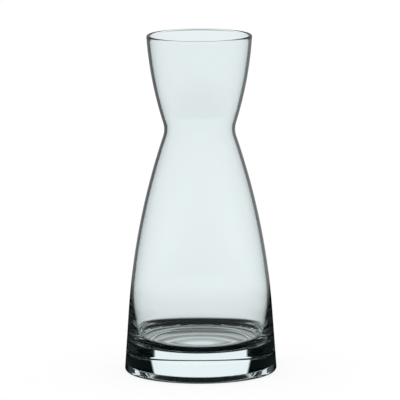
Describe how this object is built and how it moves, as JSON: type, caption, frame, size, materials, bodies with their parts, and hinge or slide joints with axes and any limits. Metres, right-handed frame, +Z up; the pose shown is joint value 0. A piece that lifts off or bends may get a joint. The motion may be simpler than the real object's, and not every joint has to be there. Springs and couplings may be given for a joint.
{
  "type": "wine decanter",
  "caption": "Stopperless glass decanter with a bell mouth, a tight waist, a long widening body and a heavy solid foot.",
  "frame": {"origin": "centre of the bearing ring, on the surface the decanter stands on", "axes": "+Z up along the axis of revolution; X and Y are any two level directions"},
  "size_m": [0.088, 0.088, 0.196],
  "materials": {
    "glass": "clear, faintly green, fire-polished"
  },
  "bodies": {
    "root": {"decanter_body": "glass"}
  },
  "joints": []
}
